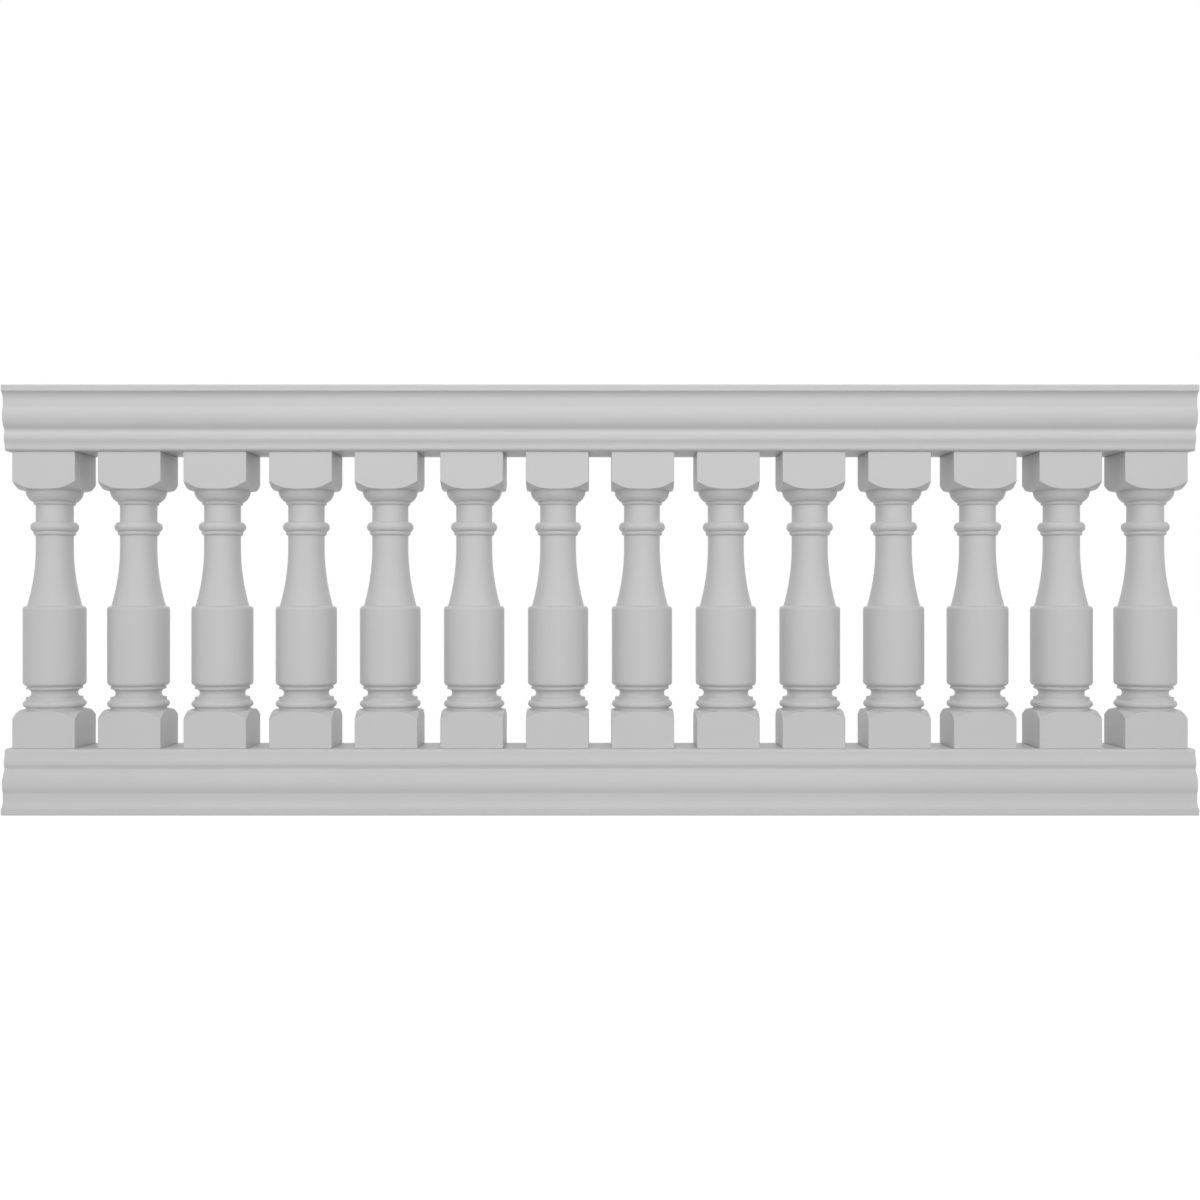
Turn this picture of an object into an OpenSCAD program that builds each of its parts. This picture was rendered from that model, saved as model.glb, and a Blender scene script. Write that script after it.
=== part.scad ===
// Balustrade bay: a moulded bottom rail, turned balusters on tube dowels and a matching top rail.
// Lengths are in millimetres. X runs along the rails, Y is the depth and Z is up.

/* [Run of balusters] */
// how many balusters stand in the bay
baluster_count = 14; // [2:1:18]
// clear gap between the square blocks of two neighbours
block_gap = 46.8; // [20:0.1:80]
// how far each rail runs on past its outermost block
end_reveal = 12.1; // [5:0.1:60]

/* [Baluster blocks] */
// overall height of one baluster
baluster_height = 609.6; // [540:0.1:760]
// width of the square blocks
block_width = 128.6; // [127.5:0.1:150]
// height of each block at the middle of its face
block_height = 77; // [65:0.1:95]
// how far inside the face the rounded shoulder leaves the flat
shoulder_inset = 2.8; // [1:0.1:4]
// radius of the rounded part of the shoulder
shoulder_round = 26; // [16:0.5:34]
// angle at which the shoulder runs out to the corners
shoulder_slope = 39; // [30:0.5:45]
// rounding along the upright edges of the blocks
block_arris = 1.5; // [0.5:0.1:4]

/* [Neck and collars] */
// radius of the neck and of the slim end of the shaft
neck_r = 37.5; // [30:0.1:41]
// height of the plain neck between bead and astragal
neck_height = 34.7; // [15:0.1:60]
// largest radius of the bell under the upper block
bell_r = 57.3; // [55:0.1:59]
// radius of the curve of the bell
bell_round = 27; // [26:0.1:28]
// height of the bell
bell_height = 23.3; // [20:0.1:24]
// radius of the bead under the bell
neck_bead_r = 4.4; // [3:0.1:6]
// distance of that bead's middle below the bell
neck_bead_drop = 2.7; // [1:0.1:4]
// radius of the astragal ring
astragal_r = 10.7; // [8:0.1:14]
// radius of the small bead under the astragal
collar_bead_r = 4.8; // [3:0.1:6]
// distance of the small bead below the astragal's middle
collar_bead_drop = 12.8; // [11:0.1:13.5]

/* [Shaft and drum] */
// radius of the shaft where it meets the drum
shaft_foot_r = 54.6; // [45:0.1:54.8]
// straight length of the shaft under the collar
shaft_straight = 24.6; // [15:0.1:60]
// radius of the drum
drum_r = 63; // [61:0.05:63.5]
// height of the drum
drum_height = 165.7; // [120:0.1:180]
// rounding of the drum's upper edge
drum_round_top = 7; // [3:0.1:8]
// rounding of the drum's lower edge
drum_round_bottom = 8; // [3:0.1:9]

/* [Base mouldings] */
// radius of the thin bead under the drum
base_bead_r = 3.3; // [2.5:0.1:4]
// how far that bead stands in from the drum's face
base_bead_inset = 6.6; // [5:0.1:8]
// height of the groove between that bead and the drum
drum_quirk = 1.2; // [0.6:0.1:3]
// radius of the hollow of the scotia
scotia_r = 8.5; // [6:0.1:9]
// radius from the axis to the middle of the scotia's curve
scotia_centre_r = 54.8; // [53:0.1:55]
// radius of the fillet between scotia and block
fillet_ring_r = 56.7; // [56:0.1:58]
// height of the fillet ring above the torus
fillet_ring_height = 6.5; // [5:0.1:10]
// radius of the torus moulding
torus_r = 7.3; // [6:0.1:9]
// height of the pinch between torus and lower block
pinch_height = 4.6; // [3:0.1:8]

/* [Rails] */
// height of each rail
rail_height = 133; // [125:0.1:160]
// how far the face that meets the blocks stands past them
face_reveal = 7.5; // [1:0.1:20]
// rounding along the long edges of that face
face_round = 7; // [1:0.1:7.4]
// how far the slim bead stands out past the face
slim_bead_out = 5; // [4:0.1:5.3]
// radius of the slim bead
slim_bead_r = 17.5; // [15:0.1:19]
// height of the slim bead's crest from the meeting face
slim_bead_at = 27.7; // [27.2:0.1:30]
// radius of the hollow under the slim bead
foot_hollow_r = 25; // [18:0.1:27]
// how far the main bead stands out
main_bead_out = 14.2; // [13:0.1:16]
// radius of the main bead
main_bead_r = 36; // [34:0.1:38]
// height of the main bead's crest from the meeting face
main_bead_at = 71.3; // [70:0.1:73]
// radius of the hollow between the two beads
valley_r = 8; // [4:0.1:10]
// how far the flat band over the main bead stands out
band_out = 9.8; // [8:0.1:9.9]
// radius of the hollow between main bead and band
band_hollow_r = 12; // [6:0.1:16]
// radius of the cove over the band
cove_r = 20; // [20:0.1:28]
// height of the cove, from the band up to the lip
cove_height = 16.4; // [10:0.1:16.5]
// how far the lip stands out
lip_out = 20; // [20:0.1:30]
// height of the lip's upright face
lip_height = 13.6; // [8:0.1:20]
// rounding along the lip's edge against the cove
lip_drip_round = 1.5; // [0.5:0.1:3]
// rounding along the lip's outer edge
lip_round = 3; // [1:0.1:5]

/* [Dowels] */
// outside diameter of the tube through each baluster
dowel_od = 38.1; // [30:0.05:44]
// wall thickness of the tube
dowel_wall = 3.2; // [2:0.1:6]
// how far the tube stands into each rail
dowel_seat = 44.45; // [25:0.05:60]
// room for adhesive all round the tube
glue_gap = 0.25; // [0.1:0.05:0.5]
// room left over the tube in the top rail
seat_room = 2; // [1:0.5:5]

/* [Hidden] */
$fn = 96;
// overlap that joins neighbouring mouldings
e = 0.5;
// depth at which the rail's hollows run into its beads and flats
bite = 0.01;
pitch = block_width + block_gap;
rail_length = baluster_count * block_width + (baluster_count - 1) * block_gap + 2 * end_reveal;
foot_z = rail_height;
head_z = rail_height + baluster_height;
rail_face_width = block_width + 2 * face_reveal;

// levels up one baluster, from its foot
z_block = block_height;
z_torus = z_block + pinch_height + torus_r;
z_ring_top = z_torus + torus_r + fillet_ring_height;
z_scotia = z_ring_top + 0.96 * scotia_r;
z_base_bead = z_scotia + scotia_r + 0.82 * base_bead_r;
z_drum = z_base_bead + base_bead_r + drum_quirk;
z_drum_top = z_drum + drum_height;
z_head = baluster_height - block_height;
z_bell = z_head - bell_height;
z_neck_bead = z_bell - neck_bead_drop;
z_astragal = z_neck_bead - neck_bead_r - neck_height - astragal_r;
z_collar_bead = z_astragal - collar_bead_drop;
z_flare = z_collar_bead - collar_bead_r - shaft_straight;

// radii derived from the drum and the blocks
shoulder_r = block_width / 2 - shoulder_inset;
corner_r = 0.72 * block_width;
base_bead_centre_r = drum_r - base_bead_inset - base_bead_r;

// hollow curve from the slim end of the shaft to its foot
flare_reach = shaft_foot_r - neck_r;
flare_height = z_flare - z_drum_top;
flare_r = (flare_height * flare_height + flare_reach * flare_reach) / (2 * flare_reach);

// centres of the rail's curves, out from the middle of its meeting face and up from it
face = rail_face_width / 2;
lip_z = rail_height - lip_height;
slim = [face + slim_bead_out - slim_bead_r, slim_bead_at];
main = [face + main_bead_out - main_bead_r, main_bead_at];
foot_hollow = [
    face + foot_hollow_r - bite,
    slim[1] - rise(slim, slim_bead_r, face, foot_hollow_r)
];
valley = resting(slim, slim_bead_r, main, main_bead_r, valley_r);
band_hollow = [
    face + band_out + band_hollow_r - bite,
    main[1] + rise(main, main_bead_r, face + band_out, band_hollow_r)
];
cove = [face + band_out + cove_r - bite, lip_z - cove_height];

// level difference between a bead and a hollow of radius r that meets it and the upright x
function rise(bead, bead_r, x, r) =
    sqrt(pow(bead_r + r - bite, 2) - pow(x + r - bite - bead[0], 2));

// centre of a hollow of radius r that rests against bead a and against bead b over it
function resting(a, a_r, b, b_r, r) =
    let (d = b - a)
    let (len = norm(d))
    let (reach = a_r + r - bite)
    let (along = (reach * reach - pow(b_r + r - bite, 2) + len * len) / (2 * len))
    let (out = sqrt(reach * reach - along * along))
    a + d / len * along + [d[1], -d[0]] / len * out;

function two(i) = i < 10 ? str("0", i) : str(i);
function baluster_x(i) = (i - (baluster_count + 1) / 2) * pitch;

baluster_names = [for (i = [1:baluster_count]) str("baluster_", two(i))];
dowel_names = [for (i = [1:baluster_count]) str("dowel_", two(i))];

// half of a block: its outer end at the origin, its rounded shoulder turned away from it
module block_half() {
    tx = shoulder_r + shoulder_round * sin(shoulder_slope);
    ty = block_height - shoulder_round * (1 - cos(shoulder_slope));
    square([shoulder_r, block_height]);
    intersection() {
        translate([shoulder_r, block_height - shoulder_round])
            circle(shoulder_round);
        square([tx, block_height + e]);
    }
    polygon([
        [0, 0],
        [corner_r, 0],
        [corner_r, ty - (corner_r - tx) * tan(shoulder_slope)],
        [tx, ty],
        [0, ty]
    ]);
}

// everything turned between the two blocks
module turning_half() {
    // plain core
    translate([0, z_block - e])
        square([neck_r, z_head - z_block + 2 * e]);

    // pinch, torus and fillet ring
    translate([0, z_block - e])
        square([fillet_ring_r, z_ring_top - z_block + e]);
    translate([drum_r - torus_r, z_torus])
        circle(torus_r);

    // scotia and the thin bead under the drum
    difference() {
        union() {
            translate([0, z_ring_top - e])
                square([scotia_centre_r, z_drum - z_ring_top + 2 * e]);
            translate([base_bead_centre_r, z_base_bead])
                circle(base_bead_r);
        }
        translate([scotia_centre_r, z_scotia])
            circle(scotia_r);
    }

    // drum
    translate([0, z_drum])
        square([drum_r - drum_round_bottom, drum_height]);
    translate([0, z_drum + drum_round_bottom])
        square([drum_r, drum_height - drum_round_bottom - drum_round_top]);
    translate([drum_r - drum_round_bottom, z_drum + drum_round_bottom])
        circle(drum_round_bottom);
    translate([drum_r - drum_round_top, z_drum_top - drum_round_top])
        circle(drum_round_top);

    // flared shaft
    difference() {
        translate([0, z_drum_top - e])
            square([drum_r - drum_round_top, flare_height + e]);
        translate([neck_r + flare_r, z_flare])
            circle(flare_r, $fn = 720);
    }

    // collars and bell
    translate([neck_r, z_collar_bead])
        circle(collar_bead_r);
    translate([neck_r, z_astragal])
        circle(astragal_r);
    translate([neck_r, z_neck_bead])
        circle(neck_bead_r);
    intersection() {
        translate([bell_r - bell_round, z_head])
            circle(bell_round);
        translate([0, z_bell])
            square([block_width, bell_height + 2]);
    }
}

// square bar that the blocks are cut from
module block_plan() {
    w = block_width - 2 * block_arris;
    square([w, block_width], center = true);
    square([block_width, w], center = true);
    for (x = [-w / 2, w / 2]) {
        for (y = [-w / 2, w / 2]) {
            translate([x, y])
                circle(block_arris);
        }
    }
}

module baluster() {
    difference() {
        intersection() {
            rotate_extrude() {
                block_half();
                turning_half();
                translate([0, baluster_height])
                    mirror([0, 1])
                        block_half();
            }
            linear_extrude(baluster_height)
                block_plan();
        }
        translate([0, 0, -1])
            cylinder(h = baluster_height + 2, r = dowel_od / 2 + glue_gap);
    }
}

// the filling behind a hollow, between its middle and the two points behind it
module hollow(centre, r, under, over) {
    difference() {
        polygon([under, centre, over]);
        translate(centre)
            circle(r, $fn = 180);
    }
}

// half of the rail's section: the meeting face lies on the origin, the lip is at the top
module rail_half() {
    // core and meeting face
    square([face - face_round, rail_height]);
    translate([0, face_round])
        square([face, foot_hollow[1] + 2 * e - face_round]);
    translate([face - face_round, face_round])
        circle(face_round);

    // beads and the hollows between them
    translate(slim)
        circle(slim_bead_r, $fn = 180);
    translate(main)
        circle(main_bead_r, $fn = 180);
    hollow(foot_hollow, foot_hollow_r, [slim[0], foot_hollow[1]], slim);
    hollow(valley, valley_r, slim, main);
    hollow(band_hollow, band_hollow_r, main, [main[0], band_hollow[1]]);

    // flat band and cove
    translate([0, band_hollow[1] - 2 * e])
        square([face + band_out, cove[1] - band_hollow[1] + 4 * e]);
    difference() {
        translate([0, cove[1]])
            square([face + lip_out - lip_drip_round, cove_height + e]);
        translate(cove)
            circle(cove_r, $fn = 180);
    }

    // lip
    translate([0, lip_z])
        square([face + lip_out - lip_drip_round, lip_height - lip_round]);
    translate([0, lip_z + lip_drip_round])
        square([face + lip_out, lip_height - lip_drip_round - lip_round]);
    translate([0, lip_z])
        square([face + lip_out - lip_round, lip_height]);
    translate([face + lip_out - lip_drip_round, lip_z + lip_drip_round])
        circle(lip_drip_round);
    translate([face + lip_out - lip_round, rail_height - lip_round])
        circle(lip_round);
}

// a rail lying along X with its meeting face on z = 0 and its lip above
module rail(seat_depth) {
    difference() {
        translate([-rail_length / 2, 0, 0])
            rotate([90, 0, 90])
                linear_extrude(rail_length) {
                    rail_half();
                    mirror([1, 0])
                        rail_half();
                }
        for (i = [1:baluster_count]) {
            translate([baluster_x(i), 0, -1])
                cylinder(h = seat_depth + 1, r = dowel_od / 2 + glue_gap);
        }
    }
}

module top_rail() {
    color("gainsboro")
        translate([0, 0, head_z])
            rail(dowel_seat + seat_room);
}

module bottom_rail() {
    color("gainsboro")
        translate([0, 0, foot_z])
            mirror([0, 0, 1])
                rail(dowel_seat);
}

module baluster_at(i) {
    color("whitesmoke")
        translate([baluster_x(i), 0, foot_z])
            baluster();
}

module dowel_at(i) {
    color("darkgray")
        translate([baluster_x(i), 0, foot_z - dowel_seat])
            difference() {
                cylinder(h = baluster_height + 2 * dowel_seat, r = dowel_od / 2);
                translate([0, 0, -1])
                    cylinder(h = baluster_height + 2 * dowel_seat + 2, r = dowel_od / 2 - dowel_wall);
            }
}

top_rail();
bottom_rail();
for (i = [1:baluster_count]) {
    baluster_at(i);
    dowel_at(i);
}
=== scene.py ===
import math

import bmesh
import bpy
from mathutils import Matrix, Vector


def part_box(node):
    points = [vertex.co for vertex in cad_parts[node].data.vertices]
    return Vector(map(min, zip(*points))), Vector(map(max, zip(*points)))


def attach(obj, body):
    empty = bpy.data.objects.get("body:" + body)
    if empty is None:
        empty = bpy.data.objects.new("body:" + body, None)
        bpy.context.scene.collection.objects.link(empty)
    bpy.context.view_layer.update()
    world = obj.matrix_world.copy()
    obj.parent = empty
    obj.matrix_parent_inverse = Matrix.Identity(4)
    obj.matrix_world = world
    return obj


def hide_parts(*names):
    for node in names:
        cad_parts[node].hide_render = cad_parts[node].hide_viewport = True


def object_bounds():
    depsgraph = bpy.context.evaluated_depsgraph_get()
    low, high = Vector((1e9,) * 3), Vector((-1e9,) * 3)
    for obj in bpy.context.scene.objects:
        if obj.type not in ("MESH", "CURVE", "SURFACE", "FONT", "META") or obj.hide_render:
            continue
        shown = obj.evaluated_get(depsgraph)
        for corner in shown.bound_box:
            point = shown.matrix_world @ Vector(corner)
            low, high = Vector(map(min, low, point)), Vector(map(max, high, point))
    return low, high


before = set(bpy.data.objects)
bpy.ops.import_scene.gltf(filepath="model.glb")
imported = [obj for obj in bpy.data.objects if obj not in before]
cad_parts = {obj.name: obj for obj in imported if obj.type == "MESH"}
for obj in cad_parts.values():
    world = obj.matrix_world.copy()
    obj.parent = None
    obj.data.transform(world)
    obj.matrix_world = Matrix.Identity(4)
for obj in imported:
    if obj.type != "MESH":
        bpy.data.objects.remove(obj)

MM = 0.001
BODY = "root"
cad_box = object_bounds()
baluster_nodes = sorted(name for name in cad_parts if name.startswith("baluster_"))
dowel_nodes = sorted(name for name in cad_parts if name.startswith("dowel_"))

# ---------------------------------------------------------------- sizes, in millimetres
# blocks
BLOCK_HEIGHT = 77
SHOULDER_INSET = 2.8
SHOULDER_ROUND = 26
SHOULDER_SLOPE = 39
ARRIS = 1.5
CORNER_REACH = 0.72      # of a block's width: the turning reaches just past the block's corners

# turning, upwards from the lower block
PINCH_HEIGHT = 4.6
FILLET_RING_R = 56.7
FILLET_RING_HEIGHT = 6.5
TORUS_R = 7.3
SCOTIA_R = 8.5
SCOTIA_CENTRE_R = 54.8
SCOTIA_RISE = 0.96       # of its radius: how far the scotia's centre is above the fillet ring
BASE_BEAD_R = 3.3
BASE_BEAD_CENTRE_R = 53.1
BASE_BEAD_RISE = 0.82    # of its radius: how far the bead's centre is above the scotia's circle
DRUM_QUIRK = 1.2
DRUM_R = 63
DRUM_HEIGHT = 165.7
DRUM_ROUND_BOTTOM = 8
DRUM_ROUND_TOP = 7
SHAFT_FOOT_R = 54.6
SHAFT_STRAIGHT = 24.6
NECK_R = 37.5
NECK_HEIGHT = 34.7
COLLAR_BEAD_R = 4.8
COLLAR_BEAD_DROP = 12.8
ASTRAGAL_R = 10.7
NECK_BEAD_R = 4.4
NECK_BEAD_DROP = 2.7
NECK_BEAD_TURN = 20      # degrees above level, where the bead ends under the bell
BELL_R = 57.3
BELL_ROUND = 27
BELL_HEIGHT = 23.3

# rail moulding, outwards from the edge of the meeting face and up from it
FACE_ROUND = 7
SLIM_BEAD = {"out": 5, "radius": 17.5, "at": 27.7}
MAIN_BEAD = {"out": 14.2, "radius": 36, "at": 71.3}
FOOT_HOLLOW_R = 25
VALLEY_R = 8
BAND_HOLLOW_R = 12
BAND_OUT = 9.8
COVE_R = 20
COVE_HEIGHT = 16.4
LIP_OUT = 20
LIP_HEIGHT = 13.6
LIP_DRIP_ROUND = 1.5
LIP_ROUND = 3

# bores for the dowels
BORE_R = 19.3
SEAT_ROOM = 2            # free depth above a dowel in the top rail

# fineness of the meshes
TURNING_STEPS = 96
BORE_STEPS = 48
SOFT_EDGE = 0.5          # how far the easing of a crisp corner reaches
HOLD = 0.4               # from an end of a long straight to the point that holds it flat

TOUCH = 1e-6             # metres within which two places are the same


# ---------------------------------------------------------------- section drawing
def arc(centre, radius, start, end, steps):
    """Points along an arc of a section, its angles in degrees from the outward direction."""
    angles = [math.radians(start + (end - start) * i / steps) for i in range(steps + 1)]
    return [(centre[0] + radius * math.cos(a), centre[1] + radius * math.sin(a)) for a in angles]


def bearing(centre, point):
    """Angle, in degrees from the outward direction, at which a point lies from a centre."""
    return math.degrees(math.atan2(point[1] - centre[1], point[0] - centre[0]))


def crossing(lower, lower_r, upper, upper_r):
    """The outer point where a lower and an upper circle cross."""
    gap = Vector(upper) - Vector(lower)
    along = (lower_r**2 - upper_r**2 + gap.length_squared) / (2 * gap.length)
    out = math.sqrt(lower_r**2 - along**2)
    return Vector(lower) + (gap * along + Vector((gap.y, -gap.x)) * out) / gap.length


def beside(circle, distance, out):
    """How far above or below a circle's centre lies a point at a distance from that centre."""
    return math.sqrt(distance**2 - (out - circle.x)**2)


def chain(*runs, apart=0.01):
    """Runs of points joined into one; a point that repeats the one before is left out."""
    points = [Vector(point) for run in runs for point in run]
    return points[:1] + [point for last, point in zip(points, points[1:])
                         if (point - last).length > apart]


def hold_straights(points, least=3):
    """Adds a point close to both ends of each long straight, so that flats shade flat."""
    held = points[:1]
    for last, point in zip(points, points[1:]):
        run = point - last
        if run.length > least:
            held += [last + run * (HOLD / run.length), point - run * (HOLD / run.length)]
        held.append(point)
    return held


def shoulder(block_width):
    """The edge of a block from its outer end to the flat beside the turning."""
    start_r = block_width / 2 - SHOULDER_INSET
    corner_r = CORNER_REACH * block_width
    tangent_r = start_r + SHOULDER_ROUND * math.sin(math.radians(SHOULDER_SLOPE))
    tangent_z = BLOCK_HEIGHT - SHOULDER_ROUND * (1 - math.cos(math.radians(SHOULDER_SLOPE)))
    slope_drop = (corner_r - tangent_r) * math.tan(math.radians(SHOULDER_SLOPE))
    rounding = arc((start_r, BLOCK_HEIGHT - SHOULDER_ROUND), SHOULDER_ROUND,
                   90 - SHOULDER_SLOPE, 90, 8)
    return [(corner_r, 0), (corner_r, tangent_z - slope_drop)] + rounding


def turning_section(block_width, height):
    """The baluster's section from its bore outwards and up, as (radius, height) points."""
    torus_z = BLOCK_HEIGHT + PINCH_HEIGHT + TORUS_R
    ring_top = torus_z + TORUS_R + FILLET_RING_HEIGHT
    scotia_z = ring_top + SCOTIA_RISE * SCOTIA_R
    bead_z = scotia_z + SCOTIA_R + BASE_BEAD_RISE * BASE_BEAD_R
    drum_z = bead_z + BASE_BEAD_R + DRUM_QUIRK
    drum_top = drum_z + DRUM_HEIGHT
    head_z = height - BLOCK_HEIGHT
    bell_z = head_z - BELL_HEIGHT
    neck_bead_z = bell_z - NECK_BEAD_DROP
    astragal_z = neck_bead_z - NECK_BEAD_R - NECK_HEIGHT - ASTRAGAL_R
    collar_z = astragal_z - COLLAR_BEAD_DROP
    flare_z = collar_z - COLLAR_BEAD_R - SHAFT_STRAIGHT

    torus = (DRUM_R - TORUS_R, torus_z)
    scotia, base_bead = (SCOTIA_CENTRE_R, scotia_z), (BASE_BEAD_CENTRE_R, bead_z)
    collar_bead, astragal = (NECK_R, collar_z), (NECK_R, astragal_z)
    torus_turn = math.degrees(math.acos((FILLET_RING_R - torus[0]) / TORUS_R))
    quirk = crossing(scotia, SCOTIA_R, base_bead, BASE_BEAD_R)
    bead_end = math.degrees(math.acos((SCOTIA_CENTRE_R - BASE_BEAD_CENTRE_R) / BASE_BEAD_R))
    collar = crossing(collar_bead, COLLAR_BEAD_R, astragal, ASTRAGAL_R)
    reach = SHAFT_FOOT_R - NECK_R
    rise = flare_z - drum_top
    flare_r = (rise**2 + reach**2) / (2 * reach)
    flare_turn = math.degrees(math.asin(rise / flare_r))
    bell_turn = math.degrees(math.asin(BELL_HEIGHT / BELL_ROUND))

    lower_block = shoulder(block_width)
    upper_block = [(r, height - z) for r, z in reversed(lower_block)]
    return hold_straights(chain(
        [(BORE_R, 0)],
        lower_block,
        [(FILLET_RING_R, BLOCK_HEIGHT)],
        arc(torus, TORUS_R, -torus_turn, torus_turn, 14),
        [(FILLET_RING_R, ring_top)],
        arc(scotia, SCOTIA_R, 180 + math.degrees(math.asin(SCOTIA_RISE)),
            bearing(scotia, quirk) % 360, 16),
        arc(base_bead, BASE_BEAD_R, bearing(base_bead, quirk), bead_end, 8),
        [(SCOTIA_CENTRE_R, drum_z)],
        arc((DRUM_R - DRUM_ROUND_BOTTOM, drum_z + DRUM_ROUND_BOTTOM),
            DRUM_ROUND_BOTTOM, -90, 0, 8),
        arc((DRUM_R - DRUM_ROUND_TOP, drum_top - DRUM_ROUND_TOP), DRUM_ROUND_TOP, 0, 90, 8),
        arc((NECK_R + flare_r, flare_z), flare_r, 180 + flare_turn, 180, 22),
        arc(collar_bead, COLLAR_BEAD_R, -90, bearing(collar_bead, collar), 10),
        arc(astragal, ASTRAGAL_R, bearing(astragal, collar), 90, 16),
        arc((NECK_R, neck_bead_z), NECK_BEAD_R, -90, NECK_BEAD_TURN, 10),
        [(NECK_R + NECK_BEAD_R * math.cos(math.radians(NECK_BEAD_TURN)), bell_z)],
        arc((BELL_R - BELL_ROUND, head_z), BELL_ROUND, -bell_turn, 0, 14),
        upper_block,
        [(BORE_R, height)],
    ))


def rail_section(face, height):
    """Half of the rail's section outwards and up from the middle of its meeting face."""
    lip_z = height - LIP_HEIGHT
    slim_r, main_r = SLIM_BEAD["radius"], MAIN_BEAD["radius"]
    slim = Vector((face + SLIM_BEAD["out"] - slim_r, SLIM_BEAD["at"]))
    main = Vector((face + MAIN_BEAD["out"] - main_r, MAIN_BEAD["at"]))
    foot_x, band_x = face + FOOT_HOLLOW_R, face + BAND_OUT + BAND_HOLLOW_R
    foot = Vector((foot_x, slim.y - beside(slim, slim_r + FOOT_HOLLOW_R, foot_x)))
    valley = crossing(slim, slim_r + VALLEY_R, main, main_r + VALLEY_R)
    band = Vector((band_x, main.y + beside(main, main_r + BAND_HOLLOW_R, band_x)))
    cove = (face + BAND_OUT + COVE_R, lip_z - COVE_HEIGHT)
    cove_turn = math.degrees(math.asin(COVE_HEIGHT / COVE_R))
    return hold_straights(chain(
        [(0, 0)],
        arc((face - FACE_ROUND, FACE_ROUND), FACE_ROUND, -90, 0, 8),
        arc(foot, FOOT_HOLLOW_R, 180, bearing(foot, slim), 8),
        arc(slim, slim_r, bearing(slim, foot), bearing(slim, valley), 16),
        arc(valley, VALLEY_R, bearing(valley, slim) % 360, bearing(valley, main), 10),
        arc(main, main_r, bearing(main, valley), bearing(main, band), 24),
        arc(band, BAND_HOLLOW_R, bearing(band, main) % 360, 180, 6),
        arc(cove, COVE_R, 180, 180 - cove_turn, 10),
        arc((face + LIP_OUT - LIP_DRIP_ROUND, lip_z + LIP_DRIP_ROUND),
            LIP_DRIP_ROUND, -90, 0, 6),
        arc((face + LIP_OUT - LIP_ROUND, height - LIP_ROUND), LIP_ROUND, 0, 90, 8),
        [(0, height)],
    ))


# ---------------------------------------------------------------- modelling
def only(kind, geom):
    """The verts, or the edges, among what a bmesh operator gives back."""
    return [item for item in geom if isinstance(item, kind)]


def outline(mesh, points, place):
    """Draws a closed section into a bmesh; place turns a point into its position in metres."""
    verts = [mesh.verts.new(place(p)) for p in points]
    for a, b in zip(verts, verts[1:] + verts[:1]):
        mesh.edges.new((a, b))
    return verts


def soften(mesh, verts, least_turn=22, most_share=0.45):
    """Eases a section's crisp corners, by no more than a share of the edges that meet there."""
    corners = []
    for vert in verts:
        a, b = (edge.other_vert(vert).co - vert.co for edge in vert.link_edges)
        if math.degrees(math.pi - a.angle(b)) > least_turn:
            corners.append((vert, min(a.length, b.length)))
    for vert, room in corners:
        bmesh.ops.bevel(mesh, geom=[vert], offset=min(SOFT_EDGE * MM, most_share * room),
                        offset_type="OFFSET", segments=2, profile=0.5, affect="VERTICES",
                        clamp_overlap=False, material=-1)


def shade(mesh, least_turn=24, flat_area=4e-4):
    """Smooth faces, with the creases and the rims of the large flats kept sharp."""
    for face in mesh.faces:
        face.smooth = True
    for edge in mesh.edges:
        flats = any(face.calc_area() > flat_area and len(face.verts) > 4
                    for face in edge.link_faces)
        turn = math.degrees(edge.calc_face_angle(0))
        edge.smooth = not (flats or turn > least_turn)


def piece(name, mesh, node, finish):
    """Makes a finished piece that stands in for a CAD node."""
    data = bpy.data.meshes.new(name)
    mesh.to_mesh(data)
    data.materials.append(finish)
    made = bpy.data.objects.new(name, data)
    bpy.context.scene.collection.objects.link(made)
    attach(made, BODY)
    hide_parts(node)


def cut_square(mesh, width):
    """Cuts a turning off at four sides, a width apart, and closes the cuts."""
    for side in (Vector((1, 0, 0)), Vector((-1, 0, 0)), Vector((0, 1, 0)), Vector((0, -1, 0))):
        cut = bmesh.ops.bisect_plane(mesh, geom=mesh.verts[:] + mesh.edges[:] + mesh.faces[:],
                                     dist=TOUCH, plane_co=side * width / 2, plane_no=side,
                                     clear_outer=True)["geom_cut"]
        bmesh.ops.holes_fill(mesh, edges=only(bmesh.types.BMEdge, cut), sides=0)


def block_arrises(mesh, width, height):
    """The upright corners of both blocks and the straight edges of their outer ends."""
    half = width / 2 - 10 * TOUCH
    arrises = []
    for edge in mesh.edges:
        a, b = (v.co for v in edge.verts)
        upright = all(abs(c) > half for c in (a.x, a.y, b.x, b.y))
        at_end = abs(a.z - b.z) < TOUCH and (a.z < TOUCH or a.z > height - TOUCH)
        on_face = any(abs(p) > half and abs(q) > half for p, q in ((a.x, b.x), (a.y, b.y)))
        if upright or (at_end and on_face):
            arrises.append(edge)
    return arrises


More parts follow.
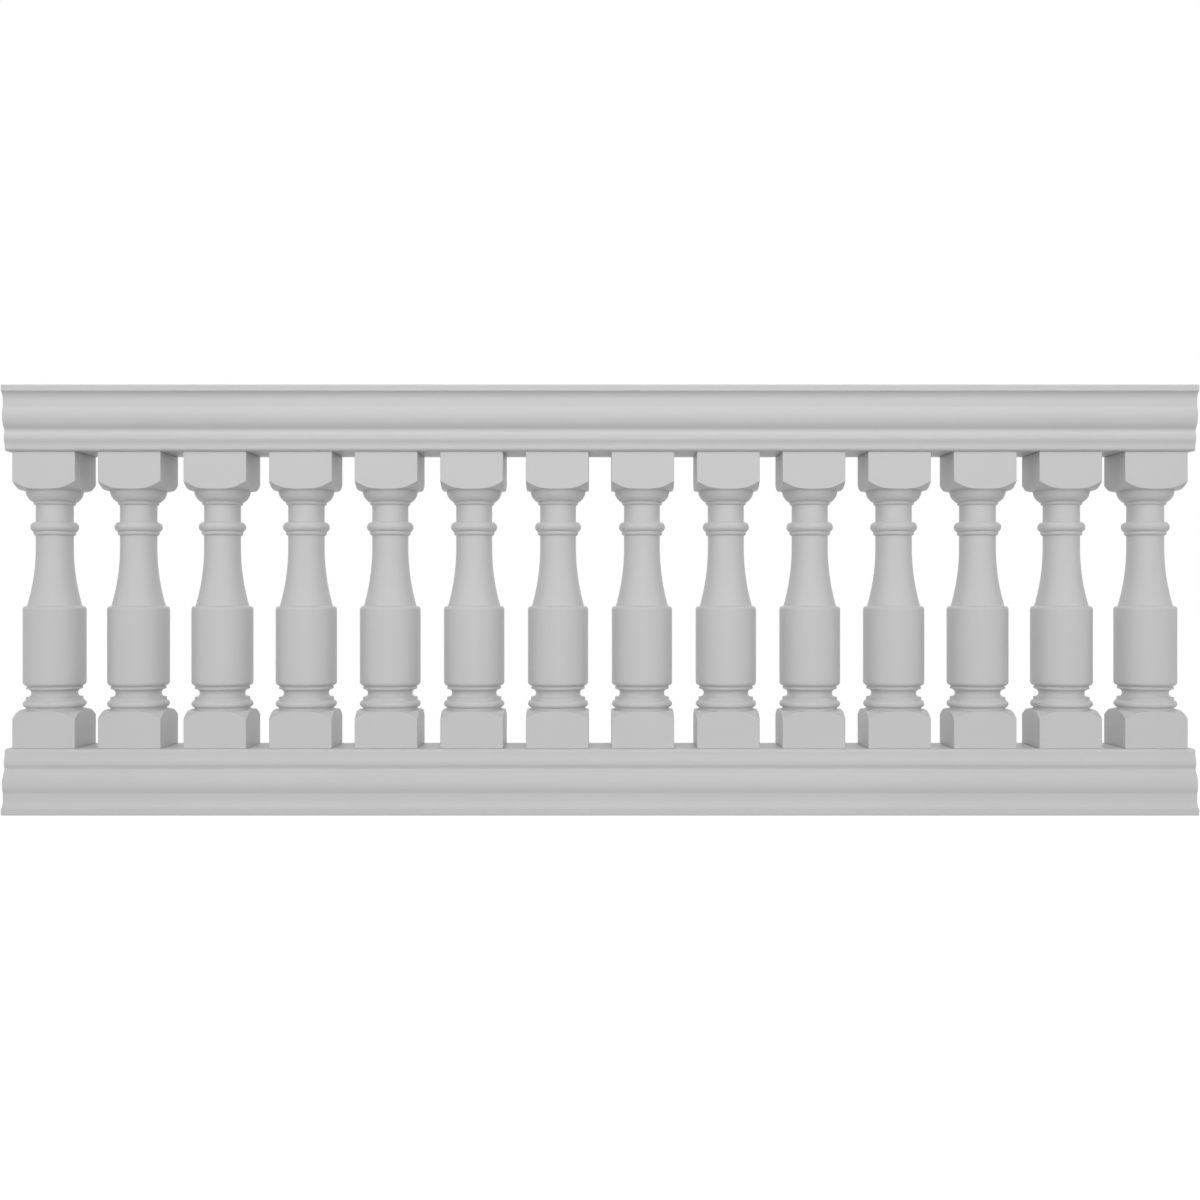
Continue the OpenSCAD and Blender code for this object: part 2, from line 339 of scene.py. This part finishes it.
def turned_baluster(low, high):
    """One baluster standing in its CAD box: a full turning cut square at its blocks."""
    width, height = high.x - low.x, high.z - low.z
    mesh = bmesh.new()
    verts = outline(mesh, turning_section(width / MM, height / MM),
                    lambda p: (p[0] * MM, 0, p[1] * MM))
    soften(mesh, [v for v in verts if BORE_R * MM < v.co.x < CORNER_REACH * width - TOUCH])
    bmesh.ops.spin(mesh, geom=mesh.verts[:] + mesh.edges[:], cent=(0, 0, 0), axis=(0, 0, 1),
                   angle=math.tau, steps=TURNING_STEPS, use_merge=True, use_duplicate=False)
    bmesh.ops.remove_doubles(mesh, verts=mesh.verts, dist=TOUCH)
    cut_square(mesh, width)
    bmesh.ops.recalc_face_normals(mesh, faces=mesh.faces)
    bmesh.ops.bevel(mesh, geom=block_arrises(mesh, width, height), offset=ARRIS * MM,
                    offset_type="OFFSET", segments=3, profile=0.5, affect="EDGES",
                    clamp_overlap=True, material=-1)
    bmesh.ops.translate(mesh, verts=mesh.verts,
                        vec=((low.x + high.x) / 2, (low.y + high.y) / 2, low.z))
    shade(mesh)
    return mesh


def moulded_rail(low, high, upside_down):
    """One rail in its CAD box; its meeting face is below, or above if it lies upside down."""
    height = high.z - low.z
    half = rail_section((high.y - low.y) / 2 / MM - LIP_OUT, height / MM)
    section = half[:-1] + [(-y, z) for y, z in reversed(half[1:])]
    way = -1 if upside_down else 1
    base = high.z if upside_down else low.z
    mesh = bmesh.new()
    soften(mesh, outline(mesh, section, lambda p: (low.x, p[0] * MM, base + way * p[1] * MM)))
    end = bmesh.ops.contextual_create(mesh, geom=mesh.edges[:])["faces"]
    run = bmesh.ops.extrude_face_region(mesh, geom=end, use_keep_orig=True)["geom"]
    bmesh.ops.translate(mesh, vec=(high.x - low.x, 0, 0), verts=only(bmesh.types.BMVert, run))
    bore_seats(mesh, base, way)
    bmesh.ops.recalc_face_normals(mesh, faces=mesh.faces)
    shade(mesh)
    return mesh


def bore_seats(mesh, base, way):
    """Opens the rail's meeting face for the dowels and sinks a blind bore at each.

    A dowel stands on the floor of its bore in the bottom rail, so the room is all at its top.
    """
    flats = [face for face in mesh.faces
             if all(abs(v.co.z - base) < TOUCH for v in face.verts)]
    edges = {edge for face in flats for edge in face.edges}
    rim = [edge for edge in edges if sum(face in flats for face in edge.link_faces) == 1]
    bmesh.ops.delete(mesh, geom=flats, context="FACES")
    bores = []
    for node in dowel_nodes:
        dowel_low, dowel_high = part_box(node)
        centre = ((dowel_low.x + dowel_high.x) / 2, (dowel_low.y + dowel_high.y) / 2, base)
        ring = bmesh.ops.create_circle(mesh, segments=BORE_STEPS, radius=BORE_R * MM,
                                       matrix=Matrix.Translation(centre))["verts"]
        depth = dowel_high.z + SEAT_ROOM * MM - base if way > 0 else base - dowel_low.z
        bores.append((list({edge for vert in ring for edge in vert.link_edges}), depth))
    bmesh.ops.triangle_fill(mesh, use_beauty=True, use_dissolve=False,
                            edges=rim + [edge for ring, _ in bores for edge in ring])
    for ring, depth in bores:
        wall = bmesh.ops.extrude_edge_only(mesh, edges=ring)["geom"]
        floor = [edge for edge in only(bmesh.types.BMEdge, wall) if len(edge.link_faces) == 1]
        bmesh.ops.translate(mesh, vec=(0, 0, way * depth), verts=only(bmesh.types.BMVert, wall))
        bmesh.ops.contextual_create(mesh, geom=floor)


# ---------------------------------------------------------------- materials
class Amount:
    """What a shader node gives out, usable in sums."""

    def __init__(self, shading, socket):
        self.shading = shading
        self.socket = socket

    def _maths(self, operation, first, second):
        return self.shading.node("ShaderNodeMath", {"operation": operation}, {0: first, 1: second})

    def __add__(self, other):
        return self._maths("ADD", self, other)

    def __rsub__(self, other):
        return self._maths("SUBTRACT", other, self)

    def __mul__(self, other):
        return self._maths("MULTIPLY", self, other)

    __radd__ = __add__


class Shading:
    """The nodes of a material or a world: node() adds any and returns its output as an Amount."""

    def __init__(self, owner):
        owner.use_nodes = True
        self.tree = owner.node_tree

    def node(self, kind, settings=None, inputs=None, output=0):
        made = self.tree.nodes.new(kind)
        for name, value in (settings or {}).items():
            setattr(made, name, value)
        for name, value in (inputs or {}).items():
            self.feed(made.inputs[name], value)
        return Amount(self, made.outputs[output])

    def feed(self, socket, value):
        if isinstance(value, Amount):
            self.tree.links.new(value.socket, socket)
        else:
            socket.default_value = value

    def place(self):
        return self.node("ShaderNodeTexCoord", output="Object")

    def seen(self):
        """1 for what is seen by eye, in a gloss or through glass, and 0 for other light."""
        return sum(self.node("ShaderNodeLightPath", output=f"Is {ray} Ray")
                   for ray in ("Camera", "Glossy", "Transmission"))


class Finish(Shading):
    """A procedural material on the principled shader."""

    def __init__(self, name):
        self.material = bpy.data.materials.new(name)
        super().__init__(self.material)
        self.shader = self.tree.nodes["Principled BSDF"]

    def surface(self, **inputs):
        for name, value in inputs.items():
            self.feed(self.shader.inputs[name.replace("_", " ")], value)
        return self.material

    def noise(self, scale, detail, stretch=(1, 1, 1)):
        """Even noise from 0 to 1, its features about 1/scale metres across."""
        where = self.node("ShaderNodeMapping", {}, {"Vector": self.place(), "Scale": stretch})
        return self.node("ShaderNodeTexNoise", {}, {"Vector": where, "Scale": scale,
                                                    "Detail": detail})

    def shades(self, amount, dark, light):
        """A colour between two, by an amount from 0 to 1."""
        return self.node("ShaderNodeMix", {"data_type": "RGBA"},
                         {"Factor": amount, 6: (*dark, 1), 7: (*light, 1)}, output=2)

    def relief(self, height):
        """Shading as on a surface raised by a height in metres."""
        return self.node("ShaderNodeBump", {}, {"Distance": 1.0, "Height": height})


def gelcoat(name, tone, clouding=0.022, peel_height=0.00003, wave_height=0.0004):
    """Smooth pale gelcoat: faint clouding, fine orange peel and a long slow mould wave."""
    finish = Finish(name)
    drift = finish.noise(scale=3.2, detail=3) * 0.75 + finish.noise(scale=420, detail=2) * 0.25
    peel = finish.noise(scale=300, detail=1) * peel_height
    wave = finish.noise(scale=17, detail=1) * wave_height
    return finish.surface(
        Base_Color=finish.shades(drift, dark=[tone - clouding] * 3, light=[tone + clouding] * 3),
        Roughness=finish.noise(scale=38, detail=2) * 0.10 + 0.40,
        Normal=finish.relief(peel + wave),
    )


def tube_metal(brush_height=0.00004):
    """Plain grey tube metal, brushed round its girth."""
    finish = Finish("brushed_tube")
    rings = finish.noise(scale=60, detail=2, stretch=(0.4, 0.4, 30))
    return finish.surface(
        Base_Color=finish.shades(rings, dark=(0.40, 0.39, 0.37), light=(0.52, 0.51, 0.49)),
        Metallic=1.0,
        Roughness=rings * 0.16 + 0.30,
        Normal=finish.relief(rings * brush_height),
    )


PALE_GREY = 0.62
rail_gelcoat = gelcoat("rail_gelcoat", PALE_GREY)
baluster_gelcoat = gelcoat("baluster_gelcoat", PALE_GREY)
brushed_tube = tube_metal()

# ---------------------------------------------------------------- pieces
for node, name, upside_down in (("top_rail", "top_rail_moulding", False),
                                ("bottom_rail", "bottom_rail_moulding", True)):
    piece(name, moulded_rail(*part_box(node), upside_down), node, rail_gelcoat)

for node in baluster_nodes:
    piece(node.replace("baluster", "turned_baluster"), turned_baluster(*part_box(node)), node,
          baluster_gelcoat)

for node in dowel_nodes:
    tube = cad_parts[node]
    tube.data.materials.clear()
    tube.data.materials.append(brushed_tube)

# ---------------------------------------------------------------- studio
low, high = cad_box
middle = (low + high) / 2


def studio_floor(tone, glow):
    """Pale floor that keeps the object's shadow and glows, where it is seen, up to white."""
    data = bpy.data.meshes.new("studio_floor")
    mesh = bmesh.new()
    bmesh.ops.create_circle(mesh, cap_ends=True, segments=64, radius=40)
    mesh.to_mesh(data)
    floor = bpy.data.objects.new("studio_floor", data)
    bpy.context.scene.collection.objects.link(floor)
    floor.location.z = low.z
    finish = Finish("studio_floor")
    data.materials.append(finish.surface(
        Base_Color=(tone, tone, tone, 1), Roughness=1.0, Specular_IOR_Level=0.0,
        Emission_Color=(1, 1, 1, 1), Emission_Strength=finish.seen() * glow))


def studio_world(even, banks):
    """Light from all round, strongest before and behind, that is plain white where it is seen."""
    world = bpy.data.worlds.new("studio")
    bpy.context.scene.world = world
    sky = Shading(world)
    depth = sky.node("ShaderNodeSeparateXYZ", {}, {"Vector": sky.place()}, output="Y")
    seen = sky.seen()
    background = sky.tree.nodes["Background"]
    sky.feed(background.inputs["Color"], (1, 1, 1, 1))
    sky.feed(background.inputs["Strength"], (depth * depth * banks + even) * (1 - seen) + seen)


def softbox(name, place, size, power):
    """A soft lamp aimed at the middle of the object and unseen by the camera."""
    light = bpy.data.lights.new(name, "AREA")
    light.shape = "RECTANGLE"
    light.size, light.size_y = size
    light.energy = power
    made = bpy.data.objects.new(name, light)
    bpy.context.scene.collection.objects.link(made)
    made.location = place
    made.rotation_euler = (middle - Vector(place)).to_track_quat("-Z", "Y").to_euler()
    made.visible_camera = False


studio_floor(tone=0.6, glow=0.645)
studio_world(even=0.25, banks=1.4)
softbox("front_softbox", (0, -3.4, 0.9), (3.0, 1.0), 10.7)
softbox("upper_softbox", (0, -1.0, 1.7), (4.0, 0.4), 6.9)

# ---------------------------------------------------------------- camera
CAMERA_DISTANCE = 3.1143     # metres from the middle of the object
SENSOR = 36                  # millimetres, as is the lens
LENS = 44.67
camera = bpy.data.objects.new("camera", bpy.data.cameras.new("camera"))
bpy.context.scene.collection.objects.link(camera)
camera.data.sensor_width = SENSOR
camera.data.lens = LENS
camera.location = (middle.x, middle.y - CAMERA_DISTANCE, middle.z)
camera.rotation_euler = (math.radians(90), 0, 0)
bpy.context.scene.camera = camera
bpy.context.scene.view_settings.view_transform = "Standard"
